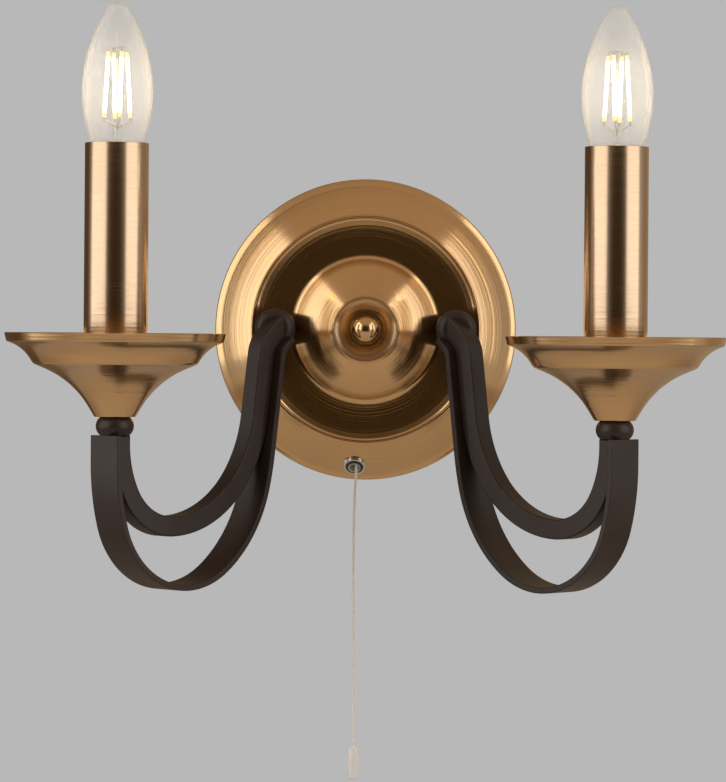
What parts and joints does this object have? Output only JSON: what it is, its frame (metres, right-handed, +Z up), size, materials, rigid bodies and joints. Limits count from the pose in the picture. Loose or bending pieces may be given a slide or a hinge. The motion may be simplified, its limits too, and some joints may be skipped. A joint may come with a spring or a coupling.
{
  "type": "double arm wall light",
  "caption": "Wall light with a round spun plate, curved arms of a square tube over a flat strip, drip pans, candle sleeves with candle bulbs, and a pull cord switch.",
  "frame": {"origin": "middle of the round plate, on the wall", "axes": "+X to the right as seen from the room, +Y into the wall, +Z up"},
  "size_m": [0.3508, 0.1619, 0.389],
  "materials": {
    "brass": "satin, spun, clear lacquered",
    "dark_bronze": "satin dark brown",
    "zinc_steel": "zinc plated",
    "black_plastic": "moulded",
    "white_plastic": "moulded",
    "bare_brass": "turned",
    "ring_chrome": "polished",
    "cord_nylon": "twisted cord",
    "bulb_glass": "clear",
    "insulator_glass": "dark glass",
    "lamp_nickel": "nickel plated",
    "filament_yellow": "phosphor coating",
    "cable_white": "sheath"
  },
  "bodies": {
    "fitting": {"backplate": "brass", "boss_washers": "zinc_steel", "centre_stud": "zinc_steel", "cord_liner": "white_plastic", "earth_screw": "bare_brass", "finial_nut": "brass", "left_arm_boss": "dark_bronze", "left_arm_cable": "cable_white", "left_arm_strip": "dark_bronze", "left_arm_tube": "dark_bronze", "left_boss_nipple": "zinc_steel", "left_candle_nipple": "zinc_steel", "left_candle_sleeve": "brass", "left_drip_pan": "brass", "left_lampholder_body": "white_plastic", "left_lampholder_contact": "bare_brass", "left_lampholder_shell": "bare_brass", "left_neck_bead": "dark_bronze", "pipe_locknuts": "zinc_steel", "right_arm_boss": "dark_bronze", "right_arm_cable": "cable_white", "right_arm_strip": "dark_bronze", "right_arm_tube": "dark_bronze", "right_boss_nipple": "zinc_steel", "right_candle_nipple": "zinc_steel", "right_candle_sleeve": "brass", "right_drip_pan": "brass", "right_lampholder_body": "white_plastic", "right_lampholder_contact": "bare_brass", "right_lampholder_shell": "bare_brass", "right_neck_bead": "dark_bronze", "stud_locknuts": "zinc_steel", "switch_bush": "bare_brass", "switch_contacts": "bare_brass", "switch_housing": "black_plastic", "switch_leads": "cable_white", "switch_lid": "black_plastic", "switch_lid_screws": "zinc_steel", "switch_pin": "zinc_steel", "switch_ring_nut": "ring_chrome", "switch_spring": "zinc_steel", "terminal_block": "white_plastic", "terminal_inserts": "bare_brass", "terminal_screws": "zinc_steel", "wall_bracket": "zinc_steel"},
    "cord_run": {"cord_neck": "cord_nylon"},
    "free_cord": {"pull_cord": "cord_nylon", "cord_pull": "white_plastic"},
    "lever_cord": {"inner_cord": "cord_nylon"},
    "lever": {"switch_lever": "bare_brass"},
    "left_bulb": {"left_bulb_cap": "lamp_nickel", "left_bulb_insulator": "insulator_glass", "left_bulb_glass": "bulb_glass", "left_bulb_wires": "lamp_nickel", "left_bulb_filaments": "filament_yellow"},
    "right_bulb": {"right_bulb_cap": "lamp_nickel", "right_bulb_insulator": "insulator_glass", "right_bulb_glass": "bulb_glass", "right_bulb_wires": "lamp_nickel", "right_bulb_filaments": "filament_yellow"}
  },
  "joints": [
    {"name": "cord_draw", "type": "slide", "parent": "fitting", "child": "cord_run", "axis": [0, 0, -1], "range_m": [0, 0.0045], "stiffness_N_per_m": 300, "springref_m": -0.003},
    {"name": "cord_swing", "type": "hinge", "parent": "cord_run", "child": "free_cord", "pos_m": [-0.0042, -0.0121, -0.07328], "axis": [0, 1, 0], "range_deg": [-30, 30]},
    {"name": "inner_cord_slide", "type": "slide", "parent": "fitting", "child": "lever_cord", "axis": [-0.051, -0.718, -0.6942], "range_m": [0, 0.0045]},
    {"name": "lever_turn", "type": "hinge", "parent": "fitting", "child": "lever", "pos_m": [-0.00413, -0.01402, -0.05619], "axis": [-0.9973, 0, 0.0732], "range_deg": [0, 21.7]},
    {"name": "left_bulb_lift", "type": "slide", "parent": "fitting", "child": "left_bulb", "axis": [0, 0, 1], "range_m": [0, 0.028]},
    {"name": "right_bulb_lift", "type": "slide", "parent": "fitting", "child": "right_bulb", "axis": [0, 0, 1], "range_m": [0, 0.028]}
  ],
  "couplings": [
    {"joint": "inner_cord_slide", "follows": "cord_draw", "ratio": 1},
    {"joint": "lever_turn", "follows": "cord_draw", "rad_per_m": 83.83}
  ]
}
